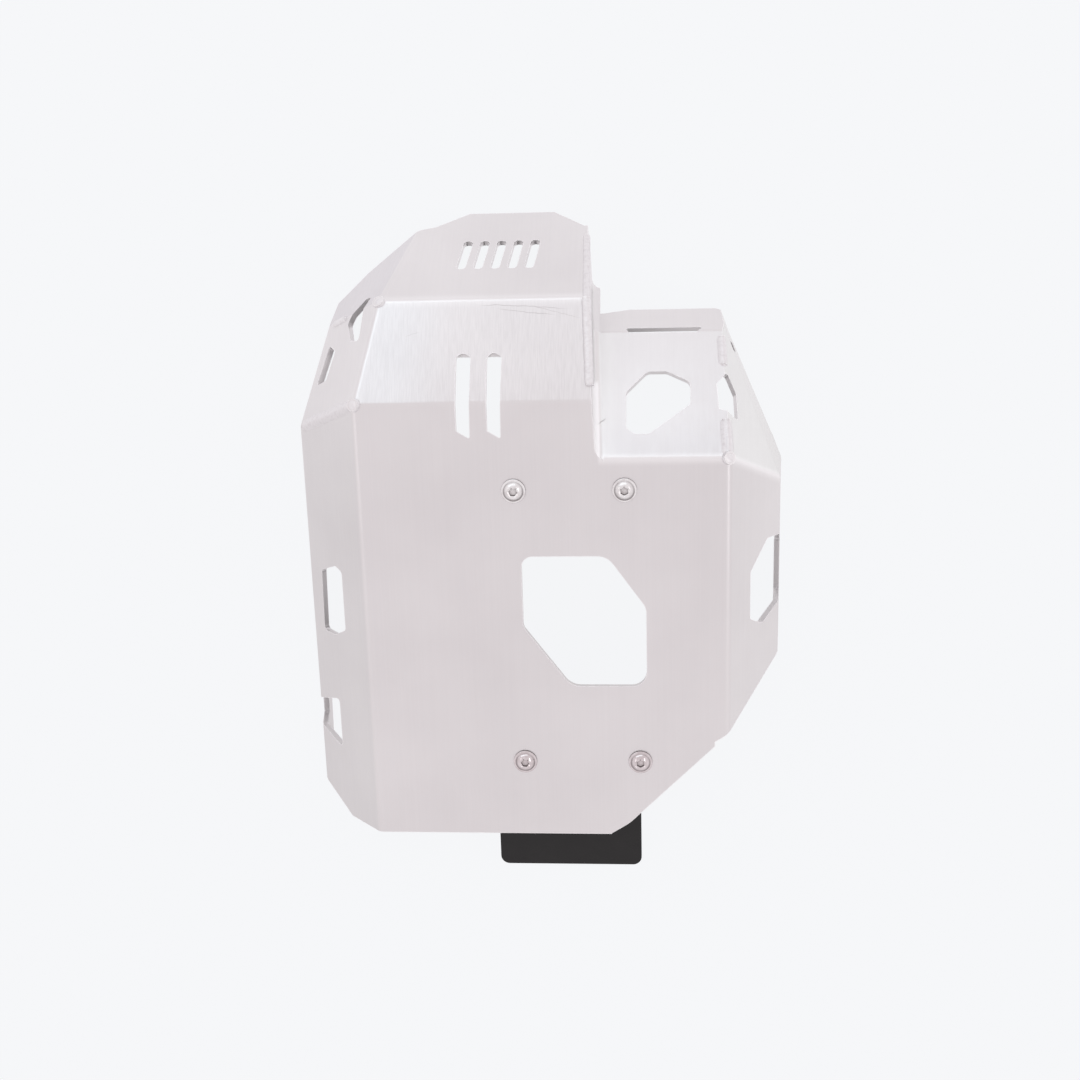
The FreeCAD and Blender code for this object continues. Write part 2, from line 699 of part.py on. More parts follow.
def notch(body, left_rule, rear_rule, wide_rule, long_rule):
    """Rectangular notch cut down through the body."""
    sketch = blank_sketch(body, "XY_Plane", "Notch")
    corners = [Vector(0, 0, 0), Vector(9, 0, 0), Vector(9, 8, 0), Vector(0, 8, 0)]
    for number, corner in enumerate(corners):
        sketch.addGeometry(Part.LineSegment(corner, corners[(number + 1) % 4]))
    for number in range(4):
        sketch.addConstraint(Sketcher.Constraint("Coincident", number, 2, (number + 1) % 4, 1))
        sketch.addConstraint(Sketcher.Constraint(("Horizontal", "Vertical")[number % 2], number))
    rules = (("DistanceX", -1, 0, 1, left_rule), ("DistanceY", -1, 0, 1, rear_rule),
             ("DistanceX", 0, 0, 2, wide_rule), ("DistanceY", 1, 1, 2, long_rule))
    for kind, item, target, end, rule in rules:
        index = sketch.addConstraint(Sketcher.Constraint(kind, item, 1, target, end, 5.0))
        sketch.setExpression("Constraints[%d]" % index, rule)
    return through_pocket(body, sketch)


def round_edges(body, radius_rule, wanted):
    """Rounds the edges of the body whose middle and direction a test accepts."""
    doc.recompute()
    tip = body.Tip
    names = []
    for number, edge in enumerate(tip.Shape.Edges, start=1):
        ends = [vertex.Point for vertex in edge.Vertexes]
        if len(ends) == 2 and isinstance(edge.Curve, Part.Line):
            if wanted((ends[0] + ends[1]) / 2, (ends[1] - ends[0]).normalize()):
                names.append("Edge%d" % number)
    fillet = body.newObject("PartDesign::Fillet", "Rounded")
    fillet.Base = (tip, names)
    return bind(fillet, Radius=radius_rule)


def bend_at(y, z):
    """Test for the edge of a bend: runs across the plate through a place in the profile."""
    def wanted(middle, way):
        return abs(way.x) > 0.999 and abs(middle.y - y) < 0.01 and abs(middle.z - z) < 0.01
    return wanted


def front_bracket():
    """Angle that ties the two front screws to the frame."""
    body = doc.addObject("PartDesign::Body", "front_bracket")
    metal = "Dimensions.bracket_thickness"
    flange = "Dimensions.front_bracket_flange"
    web = "Dimensions.front_bracket_web"
    reach = SCREW_LEVELS["front"] + " + Dimensions.front_bracket_lap"
    steps = [("rear", flange), ("down", web), ("front", metal), ("up", "%s - %s" % (web, metal)),
             ("front", "%s - %s" % (flange, metal)), ("up", metal)]
    profile = strip_profile(body, (reach, "-Dimensions.sheet_thickness"), steps)
    left = "Dimensions.front_screws_x - Dimensions.front_bracket_width / 2"
    pad_strip(body, profile, left, "Dimensions.front_bracket_width")
    bolt_holes(body, "XY_Plane", "Dimensions.screw_hole / 2", screw_places("front"))
    half = "Dimensions.front_mount_apart / 2"
    drop = "-Dimensions.sheet_thickness - Dimensions.front_mount_drop"
    web_holes = [("Dimensions.front_screws_x %s %s" % (sign, half), drop) for sign in "-+"]
    bolt_holes(body, "XZ_Plane", "Dimensions.mount_hole / 2", web_holes)
    rear = front_screws_y + size("front_bracket_lap") - size("front_bracket_flange")
    plank = size("bracket_thickness")
    round_edges(body, "Dimensions.bracket_bend", bend_at(rear + plank, -thickness - plank))
    round_edges(body, "Dimensions.bracket_bend + %s" % metal, bend_at(rear, -thickness))
    floor = -thickness - size("front_bracket_web")
    round_edges(body, "Dimensions.rear_foot_corner",
                lambda middle, way: abs(way.y) > 0.999 and abs(middle.z - floor) < 0.01)
    return body


def rear_bracket():
    """Z-shaped bracket under the rear screws. Its foot reaches out past the plate's rear edge."""
    body = doc.addObject("PartDesign::Body", "rear_bracket")
    metal = "Dimensions.bracket_thickness"
    flange = "Dimensions.rear_bracket_flange"
    drop = "Dimensions.rear_bracket_drop"
    foot = "Dimensions.rear_bracket_foot"
    width = "Dimensions.rear_bracket_width"
    reach = SCREW_LEVELS["rear"] + " + Dimensions.rear_bracket_lap"
    steps = [("rear", flange), ("down", "%s - %s" % (drop, metal)), ("rear", foot), ("down", metal),
             ("front", "%s + %s" % (foot, metal)), ("up", "%s - %s" % (drop, metal)),
             ("front", "%s - %s" % (flange, metal)), ("up", metal)]
    profile = strip_profile(body, (reach, "-Dimensions.sheet_thickness"), steps)
    pad_strip(body, profile, "Dimensions.rear_bracket_left", width)
    bolt_holes(body, "XY_Plane", "Dimensions.screw_hole / 2", screw_places("rear"))
    half = "Dimensions.rear_mount_apart / 2"
    level = "%s - %s - Dimensions.rear_mount_setback" % (reach, flange)
    foot_holes = [("Dimensions.rear_mount_x %s %s" % (sign, half), level) for sign in "-+"]
    bolt_holes(body, "XY_Plane", "Dimensions.mount_hole / 2", foot_holes)
    slack = "Dimensions.rear_foot_notch"
    notch(body, "Dimensions.rear_bracket_left + %s - %s" % (width, slack),
          "%s - %s - %s - 10" % (reach, flange, foot), "%s + 10" % slack, "%s - %s / 2" % (foot, metal))
    plank = size("bracket_thickness")
    rear = rear_screws_y + size("rear_bracket_lap") - size("rear_bracket_flange")
    low = -thickness - size("rear_bracket_drop")
    round_edges(body, "Dimensions.bracket_bend", bend_at(rear + plank, -thickness - plank))
    round_edges(body, "Dimensions.bracket_bend + %s" % metal, bend_at(rear, -thickness))
    round_edges(body, "Dimensions.bracket_bend", bend_at(rear, low + plank))
    round_edges(body, "Dimensions.bracket_bend + %s" % metal, bend_at(rear + plank, low))
    tail = rear - size("rear_bracket_foot")
    round_edges(body, "Dimensions.rear_foot_corner",
                lambda middle, way: abs(way.z) > 0.999 and abs(middle.y - tail) < 0.01)
    return body


parts = [skid_plate(), front_bracket(), rear_bracket()]
for pair in ("front", "rear"):
    parts.append(group(pair + "_screws", [screw(*place) for place in screw_places(pair)]))
    parts.append(group(pair + "_nuts", [nut(*place) for place in screw_places(pair)]))
doc.recompute()

# The whole part lies on the tub's rim: it is turned until the rim is level, then centred
rest = FreeCAD.Rotation(ACROSS, size("rim_slope"))
turned = FreeCAD.Placement(Vector(0, 0, 0), rest)
far = 10000.0
low = Vector(far, far, far)
high = Vector(-far, -far, -far)
for item in parts:
    shape = item.Shape.copy()
    shape.transformShape(turned.toMatrix())
    points, _ = shape.tessellate(0.1)
    for axis in range(3):
        low[axis] = min(low[axis], min(point[axis] for point in points))
        high[axis] = max(high[axis], max(point[axis] for point in points))
shift = Vector(-(low.x + high.x) / 2, -(low.y + high.y) / 2, -low.z)

for item in parts:
    item.Label = item.Name
    item.Placement = FreeCAD.Placement(shift, rest)
doc.recompute()

for item in doc.Objects:
    for state in ("Invalid", "Error"):
        if state in item.State:
            raise RuntimeError("%s is %s" % (item.Name, state))
for item in parts:
    shape = item.Shape
    if shape.isNull() or not shape.isValid():
        raise RuntimeError(item.Label + " has no valid shape")
    shape.exportStep("parts/%s.step" % item.Label)
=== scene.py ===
import math

import bmesh
import bpy
import numpy as np
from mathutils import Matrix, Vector


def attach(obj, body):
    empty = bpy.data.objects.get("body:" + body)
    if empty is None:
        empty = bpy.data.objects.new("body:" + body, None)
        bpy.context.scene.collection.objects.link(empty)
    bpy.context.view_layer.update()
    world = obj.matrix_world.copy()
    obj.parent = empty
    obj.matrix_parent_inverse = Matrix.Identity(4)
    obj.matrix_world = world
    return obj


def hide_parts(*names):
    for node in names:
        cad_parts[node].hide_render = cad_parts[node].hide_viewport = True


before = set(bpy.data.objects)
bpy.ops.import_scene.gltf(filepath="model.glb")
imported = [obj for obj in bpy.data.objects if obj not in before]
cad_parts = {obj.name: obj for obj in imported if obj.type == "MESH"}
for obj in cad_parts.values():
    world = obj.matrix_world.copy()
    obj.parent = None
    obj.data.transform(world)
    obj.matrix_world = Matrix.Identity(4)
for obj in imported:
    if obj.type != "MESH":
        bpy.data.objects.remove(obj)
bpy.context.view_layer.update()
scene = bpy.context.scene


# The folded plate: one 4 mm aluminium sheet, laser cut, bent along a dozen folds, seam welded
# at its corners and left bare. Its mill grain runs from front to rear. The lower front panel
# was brushed again, and four folds and the step's open lip carry painted highlights.
PLATE_LIGHT = (0.752, 0.742, 0.747, 1.0)
PLATE_DARK = (0.712, 0.700, 0.706, 1.0)
# white of the cut edges, also used for the painted highlights on four folds and the step's lip
CUT_EDGE_AND_HIGHLIGHT = (0.97, 0.975, 0.98, 1.0)
MILL_GRAIN = (750.0, 7.0)
BRUSH_GRAIN = (1150.0, 85.0)
PLATE_METAL = 1.0
PLATE_ROUGHNESS = 0.36
CLOUD_SCALE = 11.0
WALL_LEAN = (0.88, 0.97)
GRAIN_BUMP = (0.14, 0.0003)
EDGE_RADIUS = 0.0009
EDGE_SHARE = 0.85
LIP_ROUGHNESS = 0.80
# A panel is told by the way it faces and by its place in metres. Its share of the brushing
# and of the painted light and shade grows from none at the first value to all at the second, in
# each row.
LOWER_FRONT = (("facing_y", 0.22, 0.34), ("facing_z", 0.83, 0.89))
SIDE_FRONT = (("facing_y", 0.50, 0.54), ("facing_y", 0.66, 0.62), ("x", 0.043, 0.044))
SHOULDER = (("facing_x", -0.50, -0.60), ("facing_y", 0.55, 0.64))
RIGHT_FACET = (("facing_x", 0.70, 0.77), ("facing_y", 0.27, 0.32), ("facing_y", 0.47, 0.42))
# painted highlight: the step's open lip is whitened where it catches the light
STEP_LIP_HIGHLIGHT = (("x", 0.036, 0.037), ("x", 0.049, 0.048), ("y", 0.079, 0.082),
            ("y", 0.136, 0.133), ("facing_x", 0.25, 0.50))
# painted light and shade: each row makes a panel, or part of one, lighter or darker as the lamps
# fall on it
PANEL_LIGHT_AND_SHADE = (
    (LOWER_FRONT + (("x", -0.048, -0.105),), (1.060, 1.093, 1.103, 1.0)),
    (SIDE_FRONT + (("x", 0.064, 0.048),), (1.060, 1.070, 1.060, 1.0)),
    (SIDE_FRONT + (("y", 0.118, 0.088),), (0.945, 0.945, 0.950, 1.0)),
    (SHOULDER, (0.915, 0.912, 0.932, 1.0)),
    (RIGHT_FACET, (1.025, 1.055, 1.040, 1.0)),
)
# start, end, half width, in metres
FRONT_SCRATCHES = (
    ((-0.0406, 0.1909), (0.0302, 0.1869), 0.00022),
    ((-0.0263, 0.1876), (0.0197, 0.1823), 0.00020),
    ((-0.0010, 0.1893), (0.0360, 0.1800), 0.00014),
    ((-0.0900, 0.1700), (-0.0790, 0.1730), 0.00012),
    ((0.0438, 0.1043), (0.0512, 0.1104), 0.00060),
    ((0.0458, 0.0858), (0.0500, 0.0815), 0.00050),
)
SCRATCH_SHADE = 0.30
SCRATCH_SHARE = 0.45
SCRATCH_WANDER = 0.0030
SCRATCH_BUMP = (0.35, 0.0004)
# the plate stands tilted, in degrees, and its corners are given in its own millimetres
RIM_SLOPE = 6.45
PLATE_ORIGIN = (3.4955, 24.8183, 100.1985)
CORNERS = {
    "left_front": (-129.0, 99.5, 0.0),
    "left_upper": (-113.6, 166.62, -38.75),
    "left_knee": (-156.6, 143.8, -81.11),
    "left_outer": (-179.56, 73.5, -50.56),
    "right_front": (134.0, 58.5, 0.0),
    "right_top": (131.0, 136.9, -70.59),
    "right_outer": (172.6, 32.8, -46.0),
    "side_low": (42.0, 58.5, 0.0),
    "step_low": (38.6, 99.5, 0.0),
    "step_middle": (35.55, 166.62, -38.75),
    "step_high": (33.87, 203.71, -98.11),
}
# painted highlights: bright lines along four folds, where the bends catch the light
# start, end, reach in metres, strength
FOLD_HIGHLIGHTS = (
    ("left_upper", "step_middle", 0.0070, 0.29),
    ("left_front", "left_upper", 0.0062, 0.12),
    ("side_low", "right_front", 0.0058, 0.42),
    ("right_front", "right_outer", 0.0055, 0.34),
)


def material(name, metallic, roughness):
    """New material; returns it with its node tree and its shader."""
    made = bpy.data.materials.new(name)
    made.use_nodes = True
    shader = made.node_tree.nodes["Principled BSDF"]
    shader.inputs["Metallic"].default_value = metallic
    shader.inputs["Roughness"].default_value = roughness
    return made, made.node_tree, shader


def node(tree, kind, *feeds, **settings):
    """Adds a node. Feeds fill its first inputs, by socket or number; settings are its own."""
    made = tree.nodes.new(kind)
    for key, value in settings.items():
        title = key.replace("_", " ")
        if title in made.inputs:
            made.inputs[title].default_value = value
        else:
            setattr(made, key, value)
    for slot, feed in enumerate(feeds):
        if isinstance(feed, bpy.types.NodeSocket):
            tree.links.new(feed, made.inputs[slot])
        elif feed is not None:
            made.inputs[slot].default_value = feed
    return made


def maths(tree, operation, *feeds):
    """One arithmetic step on sockets or numbers."""
    return node(tree, "ShaderNodeMath", *feeds, operation=operation).outputs[0]


def fade(tree, value, start, end):
    """0 before start, 1 after end, and smooth between."""
    made = node(tree, "ShaderNodeMapRange", value, start, end, interpolation_type="SMOOTHSTEP")
    return made.outputs["Result"]


def ramp(tree, source, stops):
    """Colour ramp through (position, colour) stops."""
    made = node(tree, "ShaderNodeValToRGB", source)
    band = made.color_ramp
    while len(band.elements) < len(stops):
        band.elements.new(0.5)
    for element, (position, colour) in zip(band.elements, stops):
        element.position = position
        element.color = colour
    return made.outputs["Color"]


def grey(level):
    """Opaque grey for a ramp stop."""
    return (level, level, level, 1.0)


def cloud(tree, vector, scale, detail=2.0):
    """Soft noise on a vector socket."""
    made = node(tree, "ShaderNodeTexNoise", vector, Scale=scale, Detail=detail)
    return made.outputs["Fac"]


def blended(tree, factor, first, second, kind="MIX"):
    """Mix of two colours, each a socket or a colour."""
    made = node(tree, "ShaderNodeMix", data_type="RGBA", blend_type=kind)
    for slot, feed in ((0, factor), (6, first), (7, second)):
        if isinstance(feed, bpy.types.NodeSocket):
            tree.links.new(feed, made.inputs[slot])
        else:
            made.inputs[slot].default_value = feed
    return made.outputs[2]


def bumped(tree, shader, height, strength, distance, below=None):
    """Sends a height pattern to the shader's normal, over another bump if one is given."""
    made = node(tree, "ShaderNodeBump", Strength=strength, Distance=distance)
    tree.links.new(height, made.inputs["Height"])
    if below is not None:
        tree.links.new(below, made.inputs["Normal"])
    tree.links.new(made.outputs["Normal"], shader.inputs["Normal"])
    return made.outputs["Normal"]


def cut_edges(tree, radius):
    """1 on the outer corners of the metal and 0 on its flats: how far a rounded normal leans."""
    leaning = node(tree, "ShaderNodeBevel", Radius=radius, samples=4).outputs[0]
    flat = node(tree, "ShaderNodeNewGeometry").outputs["Normal"]
    along = node(tree, "ShaderNodeVectorMath", leaning, flat, operation="DOT_PRODUCT")
    return fade(tree, along.outputs["Value"], 0.998, 0.90)


def grain_lines(tree, place, facing, across, along):
    """Noise drawn out from front to rear, in waves per metre across and along.

    On upright walls it is spaced by height instead of by x.
    """
    lean = maths(tree, "ABSOLUTE", facing.outputs["X"])
    wall = fade(tree, lean, *WALL_LEAN)
    parts = node(tree, "ShaderNodeSeparateXYZ", place)
    flat = maths(tree, "SUBTRACT", 1.0, wall)
    spaced = maths(tree, "ADD", maths(tree, "MULTIPLY", parts.outputs["X"], flat),
                   maths(tree, "MULTIPLY", parts.outputs["Z"], wall))
    drawn = node(tree, "ShaderNodeCombineXYZ", maths(tree, "MULTIPLY", spaced, across),
                 maths(tree, "MULTIPLY", parts.outputs["Y"], along),
                 maths(tree, "MULTIPLY", maths(tree, "MULTIPLY", parts.outputs["Z"], flat), along))
    return cloud(tree, drawn.outputs[0], 1.0, 3.0)


def offset(tree, place, start):
    """Position measured from a point."""
    return node(tree, "ShaderNodeVectorMath", place, start, operation="SUBTRACT").outputs[0]


def dotted(tree, vector, way):
    """How far a vector reaches along a direction."""
    made = node(tree, "ShaderNodeVectorMath", vector, way, operation="DOT_PRODUCT")
    return made.outputs["Value"]


def scratch(tree, place, start, end, width):
    """Fine scratch seen in plan: near a wandering line between two points, fading at its ends."""
    run = Vector(end) - Vector(start)
    way = run.normalized()
    shifted = offset(tree, place, (start[0], start[1], 0.0))
    along = dotted(tree, shifted, (way.x, way.y, 0.0))
    aside = dotted(tree, shifted, (-way.y, way.x, 0.0))
    wander = maths(tree, "MULTIPLY_ADD", cloud(tree, place, 90.0, 3.0),
                   SCRATCH_WANDER, -SCRATCH_WANDER / 2)
    off_line = maths(tree, "ABSOLUTE", maths(tree, "ADD", aside, wander))
    near = fade(tree, off_line, width, width * 0.3)
    begun = fade(tree, along, 0.0, run.length * 0.2)
    ended = fade(tree, along, run.length, run.length * 0.7)
    return maths(tree, "MULTIPLY", near, maths(tree, "MULTIPLY", begun, ended))


def placed(points):
    """Plate millimetres to the frame in metres.

    The points are turned about X until the plate's rim is level, then moved.
    """
    slope = math.radians(RIM_SLOPE)
    x, y, z = np.moveaxis(np.asarray(points, dtype=float), -1, 0)
    turned = np.stack([x, y * math.cos(slope) - z * math.sin(slope),
                       y * math.sin(slope) + z * math.cos(slope)], axis=-1)
    return (turned + PLATE_ORIGIN) / 1000.0


def fold_light(tree, place, start, end, reach):
    """1 on the line between two corners, fading with the distance from it and past its ends."""
    start, end = (Vector(point) for point in placed([CORNERS[start], CORNERS[end]]))
    run = end - start
    way = tuple(run.normalized())
    shifted = offset(tree, place, tuple(start))
    along = dotted(tree, shifted, way)
    square = node(tree, "ShaderNodeVectorMath", shifted, way, operation="CROSS_PRODUCT").outputs[0]
    aside = node(tree, "ShaderNodeVectorMath", square, operation="LENGTH").outputs["Value"]
    ends = maths(tree, "MULTIPLY", fade(tree, along, -0.001, 0.002),
                 fade(tree, along, run.length + 0.002, run.length - 0.001))
    return maths(tree, "MULTIPLY", fade(tree, aside, reach, 0.0), ends)


def share_of(tree, measures, limits):
    """Product of fades, one for each row of a panel's limits."""
    share = None
    for name, start, end in limits:
        one = fade(tree, measures[name], start, end)
        share = one if share is None else maths(tree, "MULTIPLY", share, one)
    return share


def brushed_plate():
    """Satin aluminium: grain, soft clouds, bright cut edges, a few scratches, and painted light
    and shade on its panels, folds and step lip.
    """
    made, tree, shader = material("plate_aluminium_brushed", PLATE_METAL, PLATE_ROUGHNESS)
    coordinates = node(tree, "ShaderNodeTexCoord")
    place = coordinates.outputs["Object"]
    parts = node(tree, "ShaderNodeSeparateXYZ", place)
    facing = node(tree, "ShaderNodeSeparateXYZ", coordinates.outputs["Normal"])
    measures = {"x": parts.outputs["X"], "y": parts.outputs["Y"],
                "facing_x": facing.outputs["X"], "facing_y": facing.outputs["Y"],
                "facing_z": facing.outputs["Z"]}
    mill = grain_lines(tree, place, facing, *MILL_GRAIN)
    strokes = grain_lines(tree, place, facing, *BRUSH_GRAIN)
    brushed = share_of(tree, measures, LOWER_FRONT)

    clouds = cloud(tree, place, CLOUD_SCALE, 4.0)
    tint = ramp(tree, clouds, [(0.32, PLATE_DARK), (0.68, PLATE_LIGHT)])
    milled = ramp(tree, mill, [(0.30, grey(0.985)), (0.70, grey(1.0))])
    stroked = ramp(tree, strokes, [(0.32, grey(0.955)), (0.66, grey(1.025))])
    tint = blended(tree, 1.0, tint, blended(tree, brushed, milled, stroked), "MULTIPLY")
    # painted light and shade on the panels
    for limits, shade in PANEL_LIGHT_AND_SHADE:
        shaded = blended(tree, 1.0, tint, shade, "MULTIPLY")
        tint = blended(tree, share_of(tree, measures, limits), tint, shaded)
    marks = None
    for start, end, width in FRONT_SCRATCHES:
        one = scratch(tree, place, start, end, width)
        marks = one if marks is None else maths(tree, "MAXIMUM", marks, one)
    tint = blended(tree, maths(tree, "MULTIPLY", marks, SCRATCH_SHARE), tint, grey(SCRATCH_SHADE))
    edges = maths(tree, "MULTIPLY", cut_edges(tree, EDGE_RADIUS), EDGE_SHARE)
    # painted highlight on the step's lip, joined with the bright cut edges; both are made rougher
    lip_highlight_and_edges = maths(tree, "MAXIMUM", share_of(tree, measures, STEP_LIP_HIGHLIGHT), edges)
    bright = lip_highlight_and_edges
    # painted highlights along four folds
    for start, end, reach, strength in FOLD_HIGHLIGHTS:
        glow = fold_light(tree, place, start, end, reach)
        bright = maths(tree, "MAXIMUM", bright, maths(tree, "MULTIPLY", glow, strength))
    tint = blended(tree, bright, tint, CUT_EDGE_AND_HIGHLIGHT)
    tree.links.new(tint, shader.inputs["Base Color"])

    rough = ramp(tree, strokes, [(0.25, grey(0.31)), (0.75, grey(0.41))])
    rough = blended(tree, lip_highlight_and_edges, rough, grey(LIP_ROUGHNESS))
    tree.links.new(rough, shader.inputs["Roughness"])
    depth = maths(tree, "ADD", maths(tree, "MULTIPLY", brushed, 0.5), 0.3)
    height = maths(tree, "MULTIPLY", maths(tree, "ADD", mill, strokes), depth)
    grained = bumped(tree, shader, height, *GRAIN_BUMP)
    bumped(tree, shader, maths(tree, "SUBTRACT", 1.0, marks), *SCRATCH_BUMP, grained)
    return made


def repaint(name, finish):
    """Gives a CAD node a finish in place of its own."""
    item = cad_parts[name]
    item.data.materials.clear()
    item.data.materials.append(finish)


plate_finish = brushed_plate()
repaint("skid_plate", plate_finish)


# The welds: aluminium filler laid by hand along the seams that folding leaves open. The bead
# at the foot of the step and the short one on the left are as laid, with their ripples. The
# others were ground, and a button of filler closes each corner where three panels meet.
WELD_LIGHT = (0.79, 0.785, 0.795, 1.0)
WELD_DARK = (0.745, 0.735, 0.745, 1.0)
GROUND_LIGHT = (0.775, 0.765, 0.775, 1.0)
GROUND_DARK = (0.735, 0.722, 0.732, 1.0)
GROUND_BELOW = 0.02
WELD_SKIN = 0.10
GROUND_SKIN = 0.05
SKIN_DEPTH = 0.0002
SKIN_SCALE = 900.0
FRECKLE_SCALE = 420.0
RIPPLE_LENGTH = 1.9
RIPPLE_LAG = 0.55
RIPPLE_SHARPNESS = 0.7
ROW_LENGTH = 0.16
OUTWARDS = {
    "bottom": (0.0, 0.0, 1.0),
    "front_lower": (0.0, 0.5, 0.866),
    "front_upper": (0.0, 0.848, 0.530),
    "left_chine": (-0.707, 0.0, 0.707),
    "left_facet": (-0.735, 0.457, 0.500),
    "left_shoulder": (-0.639, 0.724, 0.259),
    "side_lower": (0.0, 0.669, 0.743),
    "right_facet": (0.797, 0.421, 0.434),
    "step": (0.999, 0.045, 0.0),
}
# start, end, first panel, second panel, from, to, half width, height, sink, ripple, fullness.
# A bead with less ripple than GROUND_BELOW was ground.
BEADS = {
    "weld_step_lower": ("step_low", "step_middle", "front_lower", "step",
                        11.0, 78.0, 3.6, 3.4, 1.6, 0.040, 1.0),
    "weld_step_upper": ("step_middle", "step_high", "front_upper", "step",
                        -1.5, 71.0, 2.8, 2.70, 1.4, 0.008, 1.0),
    "weld_side_lower": ("right_front", "right_top", "side_lower", "right_facet",
                        1.0, 33.0, 5.0, 4.15, 2.6, 0.004, 2.0),
    "weld_side_upper": ("right_front", "right_top", "side_lower", "right_facet",
                        74.5, 101.5, 3.9, 3.5, 2.0, 0.004, 2.0),
    "weld_left_chine": ("left_front", "left_outer", "left_chine", "left_facet",
                        1.0, 74.0, 4.8, 2.6, 1.35, 0.010, 2.0),
    "weld_left_shoulder": ("left_upper", "left_knee", "left_facet", "left_shoulder",
                           45.0, 63.5, 3.0, 2.85, 1.2, 0.05, 1.0),
}
BUTTON_RISE = 1.55
STEM_DEPTH = 5.0
RING_HEIGHT = 0.035
RING_COUNT = 1.6
# corner, first panel, second panel, radius
BUTTONS = {
    "weld_corner_left": ("left_front", "bottom", "left_facet", 5.0),
    "weld_corner_upper": ("left_upper", "front_lower", "left_shoulder", 4.8),
    "weld_corner_right": ("right_front", "bottom", "right_facet", 4.75),
}


def unit(vector):
    """Vector of length one."""
    vector = np.asarray(vector, dtype=float)
    return vector / np.linalg.norm(vector)


def bisector(first, second):
    """Direction that halves the angle between two panels' outward directions."""
    return unit(np.add(OUTWARDS[first], OUTWARDS[second]))


def shell(name, grids, finish, crease=50.0):
    """One closed mesh from grids of points.

    A grid's rows follow the piece and its columns run round it. Quads join each point to the
    next row and column, the last column meets the first, and rows that shrink to a point
    close the ends. A grid whose volume comes out negative has its quads turned over.
    """
    points = []
    quads = []
    begun = 0
    for grid in grids:
        rows, columns = grid.shape[:2]
        index = begun + np.arange(rows * columns).reshape(rows, columns)
        beside = np.roll(index, -1, axis=1)
        faces = np.stack([index[:-1], beside[:-1], beside[1:], index[1:]], axis=-1).reshape(-1, 4)
        flat = grid.reshape(-1, 3)
        a, b, c, d = (flat[faces[:, corner] - begun] for corner in range(4))
        volume = np.einsum("ij,ij->", a, np.cross(b, c)) + np.einsum("ij,ij->", a, np.cross(c, d))
        points.append(flat)
        quads.append(faces if volume > 0 else faces[:, ::-1])
        begun += rows * columns
    mesh = bpy.data.meshes.new(name)
    mesh.from_pydata(np.concatenate(points).tolist(), [], np.concatenate(quads).tolist())
    soft = bmesh.new()
    soft.from_mesh(mesh)
    bmesh.ops.remove_doubles(soft, verts=soft.verts, dist=1e-6)
    soft.to_mesh(mesh)
    soft.free()
    mesh.polygons.foreach_set("use_smooth", np.ones(len(mesh.polygons), dtype=bool))
    mesh.set_sharp_from_angle(angle=math.radians(crease))
    mesh.materials.append(finish)
    made = bpy.data.objects.new(name, mesh)
    scene.collection.objects.link(made)
    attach(made, "root")
    return made


def bead(start, end, out, begin, finish, half_width, height, sink, ripple, fullness):
    """Weld bead: an oval carried along a seam.

    The oval's height goes with a power of the sine round it: power one is an ellipse, and
    power two a lens with shallow sides, as left by grinding.
    Its size dips between ripples, which lag at the bead's sides so that they show as
    crescents. A slow pair of waves makes the hand wander, and a quarter circle rounds each
    end down to a point.
    """
    way = unit(np.subtract(end, start))
    out = unit(out - way * np.dot(out, way))
    side = np.cross(way, out)
    first = np.asarray(start) + way * begin - out * sink
    length = finish - begin
    along = np.linspace(0.0, length, int(length / ROW_LENGTH))[:, None]
    turn = np.linspace(0.0, 2 * math.pi, 40, endpoint=False)[None, :]
    phase = along / RIPPLE_LENGTH + RIPPLE_LAG * np.cos(turn) ** 2
    crest = np.abs(np.sin(math.pi * phase)) ** RIPPLE_SHARPNESS
    wander = 1.0 + 0.035 * np.sin(along / 2.9 + begin) + 0.025 * np.sin(along / 1.3 + 2 * begin)
    reach = np.clip(np.minimum(along, length - along) / half_width, 0.0, 1.0)
    size = (1.0 - ripple * (1.0 - crest)) * (1.0 + (wander - 1.0) * min(1.0, ripple * 12))
    size = size * np.sqrt(1.0 - (1.0 - reach) ** 2)
    rise = height * size * np.sign(np.sin(turn)) * np.abs(np.sin(turn)) ** fullness
    return placed(first + along[..., None] * way
                  + (half_width * size * np.cos(turn))[..., None] * side
                  + rise[..., None] * out)


def button(corner, out, radius):
    """Filled corner: a dome with faint rings round its middle, on a short round stem.

    Height over radius is a quarter ellipse, plus a cosine wave that dies out at the rim.
    """
    side = unit(np.cross(out, (0.0, 0.3, 1.0)))
    front = np.cross(side, out)
    share = np.concatenate([np.linspace(0.0, 1.0, 22), [1.0, 0.0]])[:, None]
    turn = np.linspace(0.0, 2 * math.pi, 48, endpoint=False)[None, :]
    rings = RING_HEIGHT * np.cos(2 * math.pi * share * RING_COUNT) * (1.0 - share)
    rise = -1.0 + BUTTON_RISE * np.sqrt(np.clip(1.0 - share ** 2, 0.0, 1.0)) + rings
    rise[-2:] = -STEM_DEPTH
    reach = radius * share * (1.0 + 0.025 * np.sin(3 * turn + radius))
    return placed(np.asarray(corner) + (reach * np.cos(turn))[..., None] * side
                  + (reach * np.sin(turn))[..., None] * front
                  + (rise * np.ones_like(turn))[..., None] * out)


def weld_metal(name, light, dark, skin):
    """Cast-looking filler: two tones in freckles, and a fine skin."""
    made, tree, shader = material(name, 1.0, 0.5)
    place = node(tree, "ShaderNodeTexCoord").outputs["Object"]
    freckles = cloud(tree, place, FRECKLE_SCALE, 4.0)
    tint = ramp(tree, freckles, [(0.30, dark), (0.52, light)])
    tree.links.new(tint, shader.inputs["Base Color"])
    rough = ramp(tree, freckles, [(0.3, grey(0.60)), (0.6, grey(0.46))])
    tree.links.new(rough, shader.inputs["Roughness"])
    bumped(tree, shader, cloud(tree, place, SKIN_SCALE, 3.0), skin, SKIN_DEPTH)
    return made


